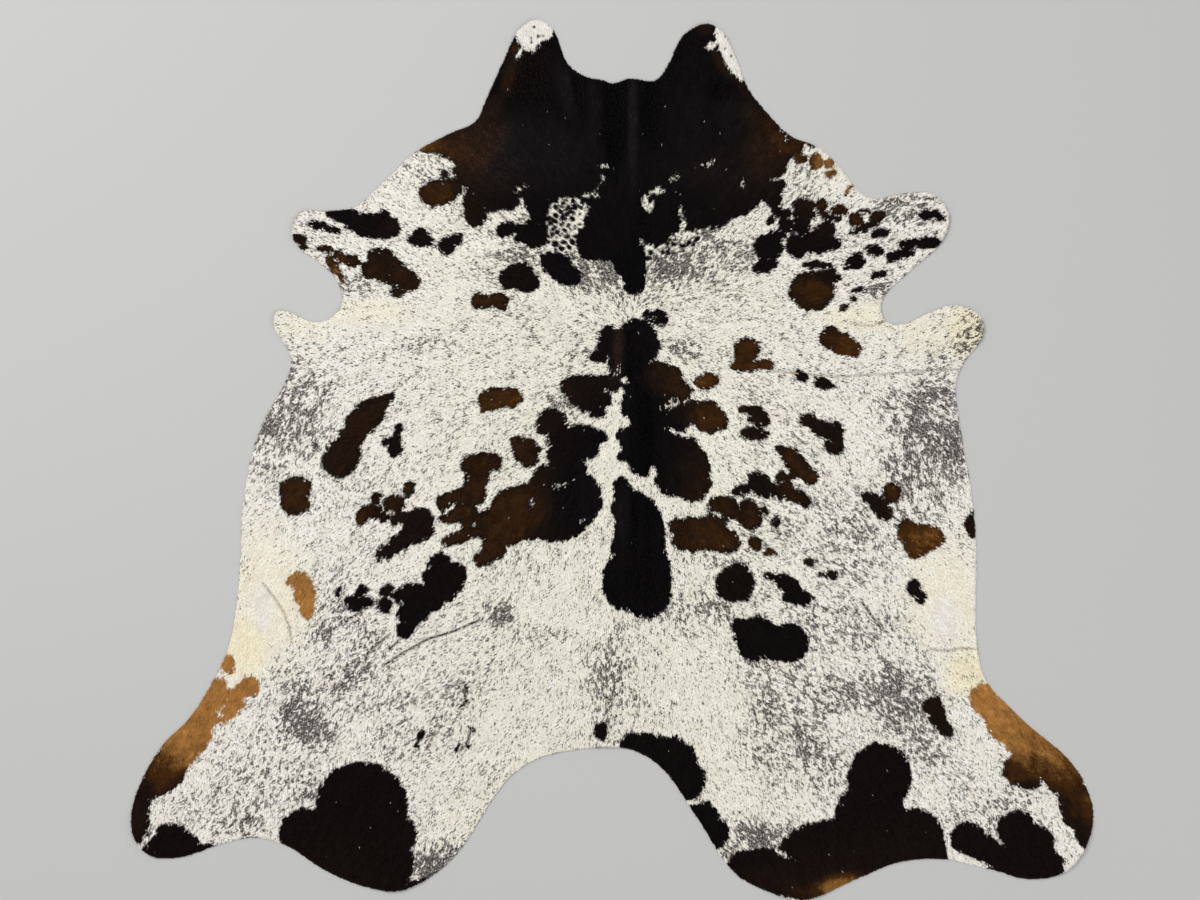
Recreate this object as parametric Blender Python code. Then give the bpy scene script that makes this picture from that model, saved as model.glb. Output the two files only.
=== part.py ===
"""Cowhide rug: one whole hair-on hide, lying flat with its neck towards +Y.

Metres, +Z up.  The origin lies on the floor under the middle of the hide's outline.  The sheet has
one thickness all over: its underside is flat on the floor, and leaves it only where the hide rolls
up into a low fold or lifts at a tip.
"""

import math

import bmesh
import bpy
import numpy as np
from mathutils import Vector, geometry

MM = 0.001

# Driving sizes
SKIN = 2.5 * MM  # tanned skin
COAT = 1.5 * MM  # short hair pressed flat on it
SHEET = SKIN + COAT
RIM_STEP = 16 * MM  # between points along the rim
SKIN_STEP = 66 * MM  # between points inside the hide
RIM_CLEAR = 0.62  # share of SKIN_STEP kept free of inner points along the rim
FOLD_LANES = (-1.0, -0.5, 0.0, 0.5, 1.0)  # lines of points along a fold, in half widths
FOLD_STEP = 1.3  # between points along a fold, in half widths
SHARP_ANGLE = math.radians(40)  # the cut rim stays sharp, and the faces shade smooth
SAME_POINT = 0.001 * MM  # points this close are one point
INSIDE_ONLY = 1  # the triangulation's choice that keeps only what lies within the rim

# The rim, walked clockwise as seen from above.  Each stretch is a short table of landmarks
# (name, x, y) in millimetres, and one smooth curve passes through all of them.
RIM = {
    "left neck lobe": (
        ("tip", -180, 1055),
        ("inner shoulder", -140, 1030),
        ("inner side", -105, 950),
        ("root", -65, 920),
    ),
    "neck edge": (
        ("left of the spine", -20, 910),
        ("dip at the spine", 5, 903),
        ("right of the spine", 40, 914),
    ),
    "right neck lobe": (
        ("root", 105, 910),
        ("inner side", 135, 945),
        ("inner shoulder", 172, 1017),
        ("tip", 230, 1046),
        ("outer shoulder", 266, 1024),
        ("outer side", 300, 960),
    ),
    "right shoulder": (
        ("cheek", 325, 895),
        ("jaw", 375, 830),
        ("throat", 432, 776),
        ("brisket", 487, 754),
        ("below the brisket", 537, 714),
    ),
    "right foreleg": (
        ("pit above", 592, 645),
        ("upper root", 636, 624),
        ("upper edge", 692, 637),
        ("upper knuckle", 768, 636),
        ("tip", 806, 595),
        ("lower knuckle", 795, 530),
        ("lower edge", 727, 464),
        ("lower root", 661, 404),
    ),
    "right elbow flap": (
        ("armpit", 645, 367),
        ("armpit's turn", 656, 332),
        ("upper root", 700, 326),
        ("upper edge", 770, 356),
        ("crown", 826, 370),
        ("tip", 882, 344),
        ("outer edge", 889, 300),
        ("lower edge", 842, 230),
    ),
    "right flank": (
        ("notch under the flap", 825, 180),
        ("upper", 840, 55),
        ("middle", 866, -100),
        ("low", 875, -250),
        ("belly", 873, -395),
    ),
    "right hind leg": (
        ("groin", 894, -520),
        ("thigh", 985, -622),
        ("hock", 1103, -726),
        ("outer knuckle", 1147, -805),
        ("tip", 1155, -862),
        ("lower knuckle", 1138, -925),
        ("toe", 1088, -988),
        ("sole", 1004, -1006),
        ("behind the sole", 915, -983),
        ("hollow before the seat", 800, -958),
    ),
    "right seat": (
        ("upper", 690, -965),
        ("outer side", 600, -1000),
        ("lowest", 462, -1055),
        ("inner side", 375, -1035),
        ("turn", 296, -990),
    ),
    "hind arch": (
        ("right foot", 212, -868),
        ("right side", 128, -746),
        ("right shoulder", 75, -706),
        ("tail, right", 25, -690),
        ("tail, left", -75, -693),
        ("left shoulder", -172, -714),
        ("left bend", -235, -752),
        ("left side", -282, -808),
        ("left foot", -360, -930),
    ),
    "left seat": (
        ("turn", -420, -990),
        ("lowest", -510, -1033),
        ("outer side", -600, -1021),
        ("upper", -690, -983),
    ),
    "left hind leg": (
        ("behind the sole", -780, -925),
        ("hollow", -858, -905),
        ("before the toe", -935, -920),
        ("sole", -1035, -953),
        ("toe", -1108, -948),
        ("lower knuckle", -1144, -908),
        ("tip", -1152, -862),
        ("outer knuckle", -1140, -800),
        ("hock", -1080, -687),
        ("thigh", -1014, -620),
        ("groin", -930, -480),
    ),
    "left flank": (
        ("belly", -902, -370),
        ("low", -890, -240),
        ("middle", -885, -125),
        ("upper", -866, -6),
        ("high", -838, 86),
    ),
    "left elbow flap": (
        ("notch under the flap", -780, 190),
        ("lower edge", -767, 235),
        ("outer edge", -785, 282),
        ("tip", -809, 320),
        ("crown", -804, 353),
        ("upper edge", -772, 354),
        ("upper root", -728, 334),
        ("armpit's turn", -682, 334),
    ),
    "left foreleg": (
        ("armpit", -646, 372),
        ("lower root", -657, 430),
        ("lower edge", -707, 480),
        ("lower knuckle", -748, 508),
        ("tip", -766, 546),
        ("upper knuckle", -742, 594),
        ("upper edge", -690, 596),
        ("upper root", -612, 609),
    ),
    "left shoulder": (
        ("below the brisket", -545, 668),
        ("brisket", -470, 738),
        ("throat", -386, 784),
        ("jaw", -326, 812),
        ("cheek", -300, 866),
        ("outer side of the lobe", -262, 950),
        ("outer shoulder of the lobe", -221, 1030),
    ),
}

# Long low folds, as rounded ridges between two ends:
# name, x and y of one end, x and y of the other, half width, height (all in millimetres).
FOLDS = (
    ("neck rib beside the spine", 56, 885, 60, 650, 34, 8),
    ("left neck roll", -55, 880, -35, 720, 52, 6),
    ("right neck roll", 125, 870, 118, 690, 44, 4),
    ("withers fold", 20, 360, 42, 235, 40, 5),
    ("back fold", 66, 170, 74, -60, 42, 6),
    ("loin fold", 48, -90, 62, -360, 46, 5),
    ("tail fold", -24, -520, -12, -680, 44, 5),
    ("right armpit fold", 640, 345, 480, 330, 38, 5),
    ("left armpit fold", -640, 350, -500, 340, 38, 5),
    ("right flank crease", 385, 205, 800, 216, 26, 4),
    ("left belly crease", -830, -300, -765, -440, 30, 5),
    ("right belly crease", 770, -452, 868, -456, 26, 4),
)

# Broad swells and lifted tips, as rounded mounds:
# name, x and y of the top, half length, half width, turn in degrees, height (millimetres).
SWELLS = (
    ("left neck lobe lifts", -195, 1075, 120, 95, 60, 9),
    ("right neck lobe lifts", 250, 1065, 120, 95, 120, 9),
    ("left foreleg lifts", -790, 565, 130, 100, 10, 8),
    ("right foreleg lifts", 835, 590, 140, 110, 0, 8),
    ("left elbow flap lifts", -835, 335, 110, 75, 0, 8),
    ("right elbow flap lifts", 910, 335, 130, 95, 0, 9),
    ("left toe lifts", -1165, -925, 150, 110, 50, 8),
    ("right toe lifts", 1150, -960, 150, 110, 130, 8),
    ("left seat lifts", -500, -1060, 170, 80, 0, 6),
    ("right seat lifts", 450, -1080, 170, 80, 0, 6),
    ("left shoulder swell", -330, 480, 190, 90, 20, 5),
    ("right shoulder swell", 360, 520, 190, 90, 160, 5),
    ("left flank swell", -640, -60, 200, 90, 75, 5),
    ("right flank swell", 680, 40, 200, 90, 100, 5),
    ("left rump swell", -420, -560, 210, 100, 40, 5),
    ("right rump swell", 470, -620, 210, 100, 140, 5),
)


def clear_scene():
    """Take every object that the start-up file brought out of the scene."""
    for old in list(bpy.data.objects):
        bpy.data.objects.remove(old, do_unlink=True)


def smooth_loop(marks, step):
    """Closed centripetal Catmull-Rom curve through the marks, with points about step apart.

    The curve's parameter grows by the square root of each chord, which keeps it from
    overshooting where a long stretch meets a short one.
    """
    points = []
    for index in range(len(marks)):
        p0, p1, p2, p3 = (marks[(index + shift) % len(marks)] for shift in (-1, 0, 1, 2))
        t0 = 0.0
        t1 = t0 + math.sqrt(np.linalg.norm(p1 - p0))
        t2 = t1 + math.sqrt(np.linalg.norm(p2 - p1))
        t3 = t2 + math.sqrt(np.linalg.norm(p3 - p2))
        count = max(1, round(np.linalg.norm(p2 - p1) / step))
        t = np.linspace(t1, t2, count, endpoint=False)[:, None]
        a1 = ((t1 - t) * p0 + (t - t0) * p1) / (t1 - t0)
        a2 = ((t2 - t) * p1 + (t - t1) * p2) / (t2 - t1)
        a3 = ((t3 - t) * p2 + (t - t2) * p3) / (t3 - t2)
        b1 = ((t2 - t) * a1 + (t - t0) * a2) / (t2 - t0)
        b2 = ((t3 - t) * a2 + (t - t1) * a3) / (t3 - t1)
        points.append(((t2 - t) * b1 + (t - t1) * b2) / (t2 - t1))
    return np.concatenate(points)


def rim_loop():
    """The hide's rim as points in metres, with the middle of its box at the origin."""
    marks = [(x, y) for stretch in RIM.values() for _, x, y in stretch]
    loop = smooth_loop(np.array(marks) * MM, RIM_STEP)
    return loop - (loop.min(axis=0) + loop.max(axis=0)) / 2


def mound(reach):
    """A smooth round-topped bump: 1 where reach is 0, and level with the floor from reach 1 on."""
    return np.clip(1 - reach**2, 0, None) ** 2


def fold_height(xy):
    """Height of the underside over the floor: the highest fold or swell at each point."""
    height = np.zeros(len(xy))
    for _, x0, y0, x1, y1, half_width, top in FOLDS:
        start = np.array((x0, y0)) * MM
        along = np.array((x1, y1)) * MM - start
        share = np.clip((xy - start) @ along / (along @ along), 0, 1)
        away = np.linalg.norm(xy - start - share[:, None] * along, axis=1)
        height = np.maximum(height, top * MM * mound(away / (half_width * MM)))
    for _, x, y, half_length, half_width, turn, top in SWELLS:
        dx, dy = (xy - np.array((x, y)) * MM).T
        cos, sin = math.cos(math.radians(turn)), math.sin(math.radians(turn))
        reach = np.hypot(
            (dx * cos + dy * sin) / (half_length * MM),
            (dy * cos - dx * sin) / (half_width * MM),
        )
        height = np.maximum(height, top * MM * mound(reach))
    return height


def fold_points():
    """Lanes of points along each fold, close enough to give it a round top."""
    points = []
    for _, x0, y0, x1, y1, half_width, _ in FOLDS:
        start = np.array((x0, y0)) * MM
        along = np.array((x1, y1)) * MM - start
        length = np.linalg.norm(along)
        along = along / length
        across = np.array((-along[1], along[0]))
        half = half_width * MM
        stations = np.linspace(-half, length + half, 2 + round(length / (half * FOLD_STEP)))
        for lane in FOLD_LANES:
            points.extend(start + station * along + lane * half * across for station in stations)
    return np.array(points)


def spaced(points, others, gap):
    """The points that lie further than gap from all the others."""
    away = np.linalg.norm(points[:, None] - others[None], axis=2).min(axis=1)
    return points[away > gap]


def inner_points(rim):
    """Points inside the hide: lanes along the folds, and a triangular lattice between them."""
    row_step = SKIN_STEP * math.sqrt(3) / 2
    low, high = rim.min(axis=0), rim.max(axis=0)
    rows = np.arange(low[1], high[1], row_step)
    columns = np.arange(low[0], high[0], SKIN_STEP)
    x, y = np.meshgrid(columns, rows)
    x = x + (np.arange(len(rows)) % 2)[:, None] * SKIN_STEP / 2
    lattice = np.column_stack((x.ravel(), y.ravel()))
    folds = spaced(fold_points(), rim, RIM_STEP / 2)
    lattice = spaced(lattice, folds, SKIN_STEP / 2)
    lattice = spaced(lattice, rim, SKIN_STEP * RIM_CLEAR)
    return np.concatenate((folds, lattice))


def hide_mesh():
    """The underside as one triangulated face inside the rim, raised onto its folds."""
    rim = rim_loop()
    flat = np.concatenate((rim, inner_points(rim)))
    edges = [(index, (index + 1) % len(rim)) for index in range(len(rim))]
    points, _, faces, *_ = geometry.delaunay_2d_cdt(
        [Vector(point) for point in flat], edges, [], INSIDE_ONLY, SAME_POINT
    )
    xy = np.array([tuple(point) for point in points])
    z = fold_height(xy)
    mesh = bpy.data.meshes.new("hide")
    mesh.from_pydata(np.column_stack((xy, z)).tolist(), [], faces)
    drop_loose_points(mesh)
    return mesh


def drop_loose_points(mesh):
    """Remove points outside the rim, which no face uses, and turn every face up."""
    bm = bmesh.new()
    bm.from_mesh(mesh)
    loose = [vert for vert in bm.verts if not vert.link_faces]
    bmesh.ops.delete(bm, geom=loose, context="VERTS")
    for face in bm.faces:
        face.normal_update()
        if face.normal.z < 0:
            face.normal_flip()
    bm.to_mesh(mesh)
    bm.free()


def coat_material():
    """Cream-white roan coat, as the plain solid shows it."""
    material = bpy.data.materials.new("hair-on hide")
    material.use_nodes = True
    shader = material.node_tree.nodes["Principled BSDF"]
    shader.inputs["Base Color"].default_value = (0.62, 0.59, 0.52, 1)
    shader.inputs["Roughness"].default_value = 0.65
    shader.inputs["Metallic"].default_value = 0
    return material


def make_hide():
    """The whole hide: its underside, thickened upwards into a sheet of skin and coat."""
    hide = bpy.data.objects.new("hide", hide_mesh())
    bpy.context.scene.collection.objects.link(hide)
    hide.data.materials.append(coat_material())
    sheet = hide.modifiers.new("skin and coat", "SOLIDIFY")
    sheet.thickness = SHEET
    sheet.offset = 1
    sheet.use_even_offset = True
    hide.data.shade_smooth()
    hide.data.set_sharp_from_angle(angle=SHARP_ANGLE)
    return hide


clear_scene()
make_hide()
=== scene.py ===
# %% [markdown]
# # A cowhide rug
#
# A cowhide rug is one tanned skin with its hair left on. It has two visible layers: the suede of
# the flesh side, which shows only at the cut rim and from below, and the coat, which is short hair
# combed flat along the way it grew on the animal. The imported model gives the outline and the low
# folds. This lesson dresses it: it reads the resting shape from that model, paints the coat's
# markings onto a map of the hide, and then lays a skin, a coat and four layers of small hair locks.

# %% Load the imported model
import math

import bpy
import numpy as np
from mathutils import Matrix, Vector
from mathutils.geometry import delaunay_2d_cdt


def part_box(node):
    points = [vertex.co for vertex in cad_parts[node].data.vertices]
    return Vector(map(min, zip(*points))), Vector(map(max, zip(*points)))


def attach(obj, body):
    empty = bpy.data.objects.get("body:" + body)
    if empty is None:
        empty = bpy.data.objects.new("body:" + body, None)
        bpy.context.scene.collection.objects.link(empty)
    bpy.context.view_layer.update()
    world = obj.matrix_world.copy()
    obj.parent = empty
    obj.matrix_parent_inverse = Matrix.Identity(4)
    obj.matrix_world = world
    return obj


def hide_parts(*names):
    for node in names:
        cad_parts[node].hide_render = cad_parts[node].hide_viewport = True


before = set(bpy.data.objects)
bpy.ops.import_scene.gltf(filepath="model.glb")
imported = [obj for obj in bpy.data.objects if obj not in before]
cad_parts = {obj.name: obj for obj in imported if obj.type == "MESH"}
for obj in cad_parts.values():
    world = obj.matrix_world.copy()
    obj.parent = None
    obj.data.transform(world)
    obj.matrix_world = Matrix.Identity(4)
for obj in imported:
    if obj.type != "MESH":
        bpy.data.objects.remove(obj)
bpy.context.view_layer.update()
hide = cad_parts["hide"]
print("hide:", len(hide.data.vertices), "corner points")

# %% [markdown]
# ## Sizes
#
# Everything is in metres. The photograph looks straight down, so one pixel is the same length
# everywhere on the hide, and a marking that is read off the photograph turns into metres with one
# scale and one shift. A real coat is 1 to 2 mm thick when it is combed flat, on 2.5 mm of skin.

# %% Driving sizes
MM = 0.001
PIXEL = 2.4 * MM  # one pixel of the photograph, on the hide
ORIGIN_X, ORIGIN_Y = 612.2, 460.0  # the photograph's pixel over the model's origin
PHOTO_X, PHOTO_Y = 600.0, 450.0  # the photograph's middle pixel
SKIN = 2.5 * MM
COAT = 1.5 * MM
SHEET = SKIN + COAT
CELL = 2.0 * MM  # side of a cell of the hide's map
MARGIN = 26 * MM  # map left free round the hide


def metres(px, py):
    """Place on the hide of a pixel: X grows with the pixel's column, Y shrinks with its row."""
    return (np.asarray(px) - ORIGIN_X) * PIXEL, (ORIGIN_Y - np.asarray(py)) * PIXEL


def table(names, text):
    """Columns by name from a table with one row a line: a last number left out is 0."""
    names = names.split()
    rows = [(*line.split(), 0)[: len(names)] for line in text.strip().splitlines()]
    return dict(zip(names, np.array(rows, float).T))


low, high = (np.array(corner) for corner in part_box("hide"))
LEFT, FOOT = low[:2] - MARGIN
COLUMNS, ROWS = (int(n) for n in np.ceil((high[:2] - low[:2] + 2 * MARGIN) / CELL) + 1)
MAP_X, MAP_Y = np.meshgrid(LEFT + CELL * np.arange(COLUMNS), FOOT + CELL * np.arange(ROWS))
print("hide map:", COLUMNS, "x", ROWS, "cells of", CELL / MM, "mm")

# %% [markdown]
# ## Reading and softening a map
#
# A map is a plain array with one number for each cell. It can be read between its cells by
# weighting the four cells round a point. It can be softened by a Gaussian, which is a product in
# Fourier space, so a wide blur costs no more than a narrow one.

# %% Map helpers
def read(field, x, y):
    """Value of a map at points: the mean of four cells, each weighted by how close it is."""
    u = np.clip((x - LEFT) / CELL, 0, COLUMNS - 1.001)
    v = np.clip((y - FOOT) / CELL, 0, ROWS - 1.001)
    i, j = u.astype(int), v.astype(int)
    u, v = u - i, v - j
    lower = (1 - u) * field[j, i] + u * field[j, i + 1]
    upper = (1 - u) * field[j + 1, i] + u * field[j + 1, i + 1]
    return (1 - v) * lower + v * upper


def soften(field, reach):
    """Gaussian blur of deviation `reach`: a wave of frequency f times exp(-2 (pi f reach)^2)."""
    fx = np.fft.rfftfreq(field.shape[1], CELL)
    fy = np.fft.fftfreq(field.shape[0], CELL)[:, None]
    damping = np.exp(-2 * (math.pi * reach) ** 2 * (fx**2 + fy**2))
    return np.fft.irfft2(np.fft.rfft2(field) * damping, field.shape)


def level(field):
    """The same map with mean 0 and standard deviation 1."""
    return (field - field.mean()) / field.std()


def grain(seed, size):
    """Smooth noise with lumps about `size` across: white noise, softened and levelled."""
    white = np.random.default_rng(seed).standard_normal((ROWS, COLUMNS))
    return level(soften(white, size / 2))


def bell(value, half):
    """1 at 0 and near 0 a few halves away: exp(-(value / half)^2)."""
    return np.exp(-((value / half) ** 2))


def step(value, start, end):
    """Smooth step from 0 at `start` to 1 at `end`: 3t^2 - 2t^3 of the share t of the way."""
    t = np.clip((value - start) / (end - start), 0, 1)
    return t * t * (3 - 2 * t)


# %% [markdown]
# ## The rim
#
# The knife's cut round the hide is the model's own rim. Its upper face is bounded by the edges
# that only one upward triangle has, and following them from point to point gives the loop. The
# loop's points are 16 mm apart, so a Catmull-Rom curve through them gives the fine rim.

# %% Find the rim loop
RIM_SPLITS = 4  # fine points for each of the model's
SAME = 0.01 * MM  # corners this close are one point


def unique_mesh(obj):
    """Points and triangles of a loose-triangle mesh, with equal corners made one point."""
    corners = np.empty(len(obj.data.vertices) * 3)
    obj.data.vertices.foreach_get("co", corners)
    keys = np.round(corners.reshape(-1, 3) / SAME).astype(np.int64)
    points, where = np.unique(keys, axis=0, return_inverse=True)
    index = np.empty(len(obj.data.loops), np.int64)
    obj.data.loops.foreach_get("vertex_index", index)
    return points * SAME, where.ravel()[index].reshape(-1, 3)


def rim_of(points, triangles):
    """Loop of the upper face, anticlockwise from above: the edges of just one upward triangle."""
    a, b, c = (points[triangles[:, i]] for i in range(3))
    normal = np.cross(b - a, c - a)
    upward = triangles[normal[:, 2] > 0.5 * np.linalg.norm(normal, axis=1)]
    edges = np.concatenate([upward[:, [0, 1]], upward[:, [1, 2]], upward[:, [2, 0]]])
    key = edges.min(1) * len(points) + edges.max(1)
    _, first, count = np.unique(key, return_index=True, return_counts=True)
    follower = dict(edges[first[count == 1]].tolist())
    loop = [next(iter(follower))]
    while follower[loop[-1]] != loop[0]:
        loop.append(follower[loop[-1]])
    return points[loop, :2]


def curve_through(marks, splits):
    """Closed Catmull-Rom curve: between two marks, the cubic that leaves and meets them evenly."""
    before, after, last = np.roll(marks, 1, 0), np.roll(marks, -1, 0), np.roll(marks, -2, 0)
    t = (np.arange(splits) / splits)[None, :, None]
    p0, p1, p2, p3 = (p[:, None] for p in (before, marks, after, last))
    cubic = 2 * p1 + (p2 - p0) * t + (2 * p0 - 5 * p1 + 4 * p2 - p3) * t**2
    return ((cubic + (3 * p1 - p0 - 3 * p2 + p3) * t**3) / 2).reshape(-1, 2)


hide_points, hide_triangles = unique_mesh(hide)
rim = curve_through(rim_of(hide_points, hide_triangles), RIM_SPLITS)
ahead = np.roll(rim, -1, 0) - np.roll(rim, 1, 0)
ahead /= np.linalg.norm(ahead, axis=1, keepdims=True)
rim_out = np.stack([ahead[:, 1], -ahead[:, 0]], 1)
rim_next = np.roll(rim, -1, 0)
AREA = 0.5 * float((rim[:, 0] * rim_next[:, 1] - rim_next[:, 0] * rim[:, 1]).sum())
print("rim:", len(rim), "points, hide area", round(AREA, 3), "square metres")

# %% [markdown]
# ## How far a place is from the rim
#
# Many steps need the distance to the rim: hair may hang only a few millimetres over it, and the
# coat rounds off towards it. The distance is worked out on a coarse map, against all rim points at
# once, with its sign from the rim's outward direction: positive on the hide, negative off it.

# %% Distance to the rim
COARSE = 4  # cells of the map for each coarse one


def rim_distance(x, y):
    """Distance to the nearest rim point, times the side of the rim on which the place lies."""
    place = np.stack([x.ravel(), y.ravel()], 1)
    square = (place**2).sum(1)[:, None] - 2 * place @ rim.T + (rim**2).sum(1)
    nearest = square.argmin(1)
    away = place - rim[nearest]
    outside = (away * rim_out[nearest]).sum(1) > 0
    return (np.linalg.norm(away, axis=1) * np.where(outside, -1, 1)).reshape(x.shape)


coarse_x, coarse_y = MAP_X[::COARSE, ::COARSE], MAP_Y[::COARSE, ::COARSE]
coarse_gap = np.concatenate([rim_distance(x[None], y[None]) for x, y in zip(coarse_x, coarse_y)])


def widen(field):
    """A coarse map on the fine one's cells, by straight lines along the rows and the columns."""
    along = np.arange(COLUMNS) / COARSE
    across = np.arange(ROWS) / COARSE
    wide = np.stack([np.interp(along, np.arange(field.shape[1]), row) for row in field])
    return np.stack([np.interp(across, np.arange(wide.shape[0]), column) for column in wide.T], 1)


GAP = widen(coarse_gap)
print("deepest place:", round(float(GAP.max()), 3), "m from the rim")

# %% [markdown]
# ## The resting shape
#
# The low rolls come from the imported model, so the finished rug lies exactly as it does. A flat
# grid is dropped onto the model by a Shrinkwrap modifier, which is how Blender lays one mesh on
# another, and its heights are softened, which turns the model's facets into one smooth surface.

# %% Read the model's folds
DROP_HEIGHT = 0.1
FOLD_SOFTNESS = 11 * MM


def show(thing):
    """The object, now linked to the scene."""
    bpy.context.scene.collection.objects.link(thing)
    return thing


def drop_grid():
    """Heights of the model's upper face on the coarse map, and where the grid met it."""
    mesh = bpy.data.meshes.new("drop_grid")
    start = np.stack([coarse_x.ravel(), coarse_y.ravel(), np.full(coarse_x.size, DROP_HEIGHT)], 1)
    mesh.vertices.add(coarse_x.size)
    mesh.vertices.foreach_set("co", start.ravel())
    grid = show(bpy.data.objects.new("drop_grid", mesh))
    drop = grid.modifiers.new("drop", "SHRINKWRAP")
    drop.target = hide
    drop.wrap_method = "PROJECT"
    drop.use_project_z = True
    drop.use_negative_direction = True
    drop.use_positive_direction = False
    laid = grid.evaluated_get(bpy.context.evaluated_depsgraph_get()).data
    heights = np.empty(coarse_x.size * 3)
    laid.vertices.foreach_get("co", heights)
    bpy.data.objects.remove(grid)
    bpy.data.meshes.remove(mesh)
    heights = heights.reshape(-1, 3)[:, 2].reshape(coarse_x.shape)
    return heights, heights < DROP_HEIGHT - MM


dropped, met = drop_grid()
weight = soften(widen(met.astype(float)), FOLD_SOFTNESS)
lifted = soften(widen(np.where(met, dropped - SHEET, 0)), FOLD_SOFTNESS)
NONE_MET, SOME_MET = 0.02, 0.2  # shares of the places around at which the folds fade in
BASE = np.clip(lifted / np.maximum(weight, NONE_MET), 0, None) * step(weight, NONE_MET, SOME_MET)
print("folds rise up to", round(float(BASE.max()) / MM, 1), "mm")

# %% [markdown]
# ## Which way the hair lies
#
# On a cow the hair starts from a whorl between the shoulder blades. It lies forwards over the neck,
# outwards over the shoulders, and ever more steeply down the flanks and along the spine. Each row
# below is the heading that the hair has at one pixel, in degrees anticlockwise from the right, and
# a place between them takes their mean, each weighted by how near it is. Noise is combed along
# these headings by averaging it over a short stretch of each, so it turns into streaks.

# %% Hair direction
LIE = table("x y turn", """
 627 306   92
 604 318  165
 652 312   20
 630 346  -90
 640 420  -88
 640 560  -90
 600 430 -135
 617 445 -110
 620 100   90
 530 120  105
 700 120   75
 480 150  130
 770 150   50
 560 265  150
 500 300  178
 560 350 -165
 420 250  160
 330 235  152
 400 180  140
 400 320  180
 300 325  172
 300 420 -118
 300 520 -125
 250 600 -120
 300 700 -122
 240 790 -118
 170 800 -118
 400 500 -132
 520 450 -142
 450 660 -140
 420 760 -128
 350 850 -115
 560 640 -118
 540 740 -128
 615 660  -97
 620 740  -90
 690 260   45
 700 330   -8
 780 300    2
 820 190   48
 890 220   38
 940 215   28
 870 320    5
 950 330   25
 870 430  -52
 920 470  -77
 960 560  -30
 780 450  -35
 700 450  -45
 780 560  -38
 900 620  -56
 700 650  -65
 800 700  -48
 880 700  -55
 760 820  -60
 870 820  -65
 960 760  -52
1030 830  -60
 975 650  -50
""")
LIE_REACH = 40 * MM  # within this distance a row counts in full


def lie():
    """Unit heading of the hair at each cell: mean of the rows' headings, weighted 1/distance^3."""
    across, along = np.zeros(MAP_X.shape), np.zeros(MAP_X.shape)
    for x0, y0, angle in zip(*metres(LIE["x"], LIE["y"]), np.radians(LIE["turn"])):
        nearness = ((MAP_X - x0) ** 2 + (MAP_Y - y0) ** 2 + LIE_REACH**2) ** -1.5
        across += nearness * math.cos(angle)
        along += nearness * math.sin(angle)
    length = np.maximum(np.hypot(across, along), 1e-9)
    return across / length, along / length


FLOW_X, FLOW_Y = lie()
print("headings:", len(LIE["x"]))


# %% Combed noise
def comb(field, reach):
    """Mean of a map along the hair, from `reach` before each place to `reach` behind it."""
    steps = np.linspace(-reach, reach, 2 * max(1, round(reach / CELL)) + 1)
    total = sum(read(field, MAP_X + s * FLOW_X, MAP_Y + s * FLOW_Y) for s in steps)
    return level(total)


FLECK_GRAIN = comb(grain(11, 3.2 * MM), 3 * MM)
EDGE_GRAIN = comb(grain(12, 4 * MM), 6 * MM)
LOBE_GRAIN = level(grain(15, 9 * MM) + 0.6 * grain(16, 20 * MM))
STRAND_GRAIN = comb(grain(17, 5 * MM), 7 * MM)
TUFT_GRAIN = comb(grain(13, 9 * MM), 22 * MM)
CLOUD_GRAIN = comb(grain(14, 34 * MM), 30 * MM)
print("fleck streaks hold", round(float((FLECK_GRAIN > 1).mean()), 3), "of the map above 1")
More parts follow.
